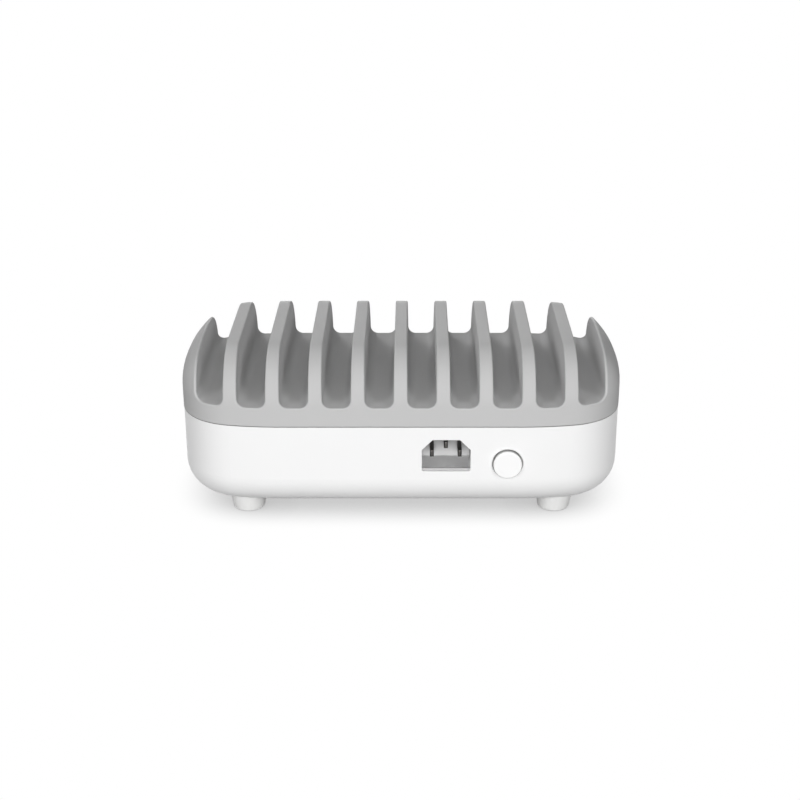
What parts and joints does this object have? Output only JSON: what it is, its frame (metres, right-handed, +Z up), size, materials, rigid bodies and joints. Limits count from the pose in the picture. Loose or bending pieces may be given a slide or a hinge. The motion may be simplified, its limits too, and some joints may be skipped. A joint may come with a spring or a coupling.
{
  "type": "charging station organizer",
  "caption": "Desktop charging station: white tub with mains inlet and push button, grey cover with upright dividers that hold devices on edge, and a row of charging ports.",
  "frame": {"origin": "on the table under the middle of the body", "axes": "+X along the row of slots, -Y towards the inlet side, +Y towards the port side, +Z up"},
  "size_m": [0.2264, 0.1144, 0.0876],
  "materials": {
    "white_abs": "satin moulded",
    "white_button_abs": "glossy moulded",
    "grey_abs": "fine matte moulded",
    "white_rubber": "matte",
    "grey_inlet_plastic": "matte moulded",
    "plated_brass": "nickel plated",
    "zinc_steel": "zinc plated",
    "spring_steel": "drawn wire",
    "port_shell_steel": "tin plated",
    "port_tongue_plastic": "moulded",
    "switch_plastic": "moulded",
    "circuit_board": "solder mask",
    "ferrite": "ground",
    "winding_tape": "polyester tape",
    "capacitor_sleeve": "shrink sleeve",
    "choke_coating": "epoxy coating",
    "film_capacitor_case": "potted case",
    "component_plastic": "moulded epoxy",
    "heat_sink_aluminium": "extruded",
    "brown_insulation": "PVC",
    "blue_insulation": "PVC",
    "green_insulation": "PVC",
    "red_insulation": "PVC"
  },
  "bodies": {
    "station": {"lower_housing": "white_abs", "slotted_cover": "grey_abs", "case_screws": "zinc_steel", "fixing_screws": "zinc_steel", "inlet_body": "grey_inlet_plastic", "button_spring": "spring_steel", "switch_body": "switch_plastic", "switch_terminals": "plated_brass", "power_board": "circuit_board", "transformer_core": "ferrite", "transformer_winding": "winding_tape", "bulk_capacitors": "capacitor_sleeve", "line_filter_choke": "choke_coating", "safety_capacitor": "film_capacitor_case", "mains_fuse": "component_plastic", "bridge_rectifier": "component_plastic", "primary_heat_sink": "heat_sink_aluminium", "switching_transistor": "component_plastic", "secondary_heat_sink": "heat_sink_aluminium", "output_rectifier": "component_plastic", "output_capacitors": "capacitor_sleeve", "port_board": "circuit_board", "port_contacts": "plated_brass", "port_controller_chips": "component_plastic", "live_wires": "brown_insulation", "neutral_wire": "blue_insulation", "earth_wire": "green_insulation", "dc_wires": "red_insulation", "rear_left_foot": "white_rubber", "rear_right_foot": "white_rubber", "front_left_foot": "white_rubber", "front_right_foot": "white_rubber", "inlet_live_pin": "plated_brass", "inlet_neutral_pin": "plated_brass", "inlet_earth_pin": "plated_brass", "charging_port_shell_01": "port_shell_steel", "charging_port_tongue_01": "port_tongue_plastic", "charging_port_shell_02": "port_shell_steel", "charging_port_tongue_02": "port_tongue_plastic", "charging_port_shell_03": "port_shell_steel", "charging_port_tongue_03": "port_tongue_plastic", "charging_port_shell_04": "port_shell_steel", "charging_port_tongue_04": "port_tongue_plastic", "charging_port_shell_05": "port_shell_steel", "charging_port_tongue_05": "port_tongue_plastic", "charging_port_shell_06": "port_shell_steel", "charging_port_tongue_06": "port_tongue_plastic", "charging_port_shell_07": "port_shell_steel", "charging_port_tongue_07": "port_tongue_plastic", "charging_port_shell_08": "port_shell_steel", "charging_port_tongue_08": "port_tongue_plastic", "charging_port_shell_09": "port_shell_steel", "charging_port_tongue_09": "port_tongue_plastic", "charging_port_shell_10": "port_shell_steel", "charging_port_tongue_10": "port_tongue_plastic"},
    "button": {"button_cap": "white_button_abs", "switch_plunger": "switch_plastic"}
  },
  "joints": [
    {"name": "button_press", "type": "slide", "parent": "station", "child": "button", "axis": [0, 1, 0], "range_m": [0, 0.002], "stiffness_N_per_m": 400, "deforming": ["button_spring"]}
  ]
}
